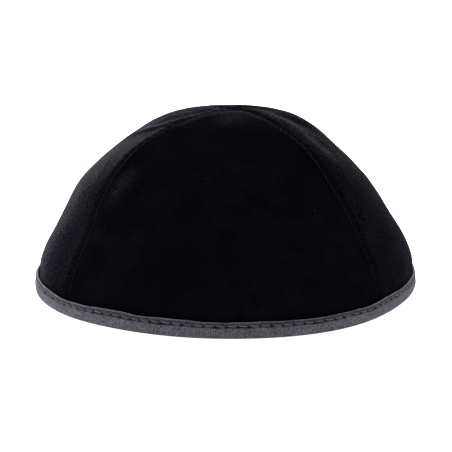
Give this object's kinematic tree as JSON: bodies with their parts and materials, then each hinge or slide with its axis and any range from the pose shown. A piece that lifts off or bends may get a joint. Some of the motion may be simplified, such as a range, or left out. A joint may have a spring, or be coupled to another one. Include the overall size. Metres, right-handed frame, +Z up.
{
  "type": "kippah",
  "caption": "Shallow domed cap of curved velvet gores whose rim is bound with a folded ribbon; it covers the crown of the head.",
  "frame": {"origin": "middle of the bounding box at its lowest level, inside the ring that the rim stands on", "axes": "+Z up through the crown, -Y out of the middle of the front panel, +X to the right of someone who looks at the front panel"},
  "size_m": [0.1602, 0.1598, 0.0727],
  "materials": {
    "velvet": "black cotton velvet, short pile, bright at grazing angles",
    "ribbon": "charcoal ribbed ribbon, folded over the rim and topstitched"
  },
  "bodies": {
    "root": {"panel_front": "velvet", "panel_right": "velvet", "panel_back": "velvet", "panel_left": "velvet", "rim_binding": "ribbon"}
  },
  "joints": []
}
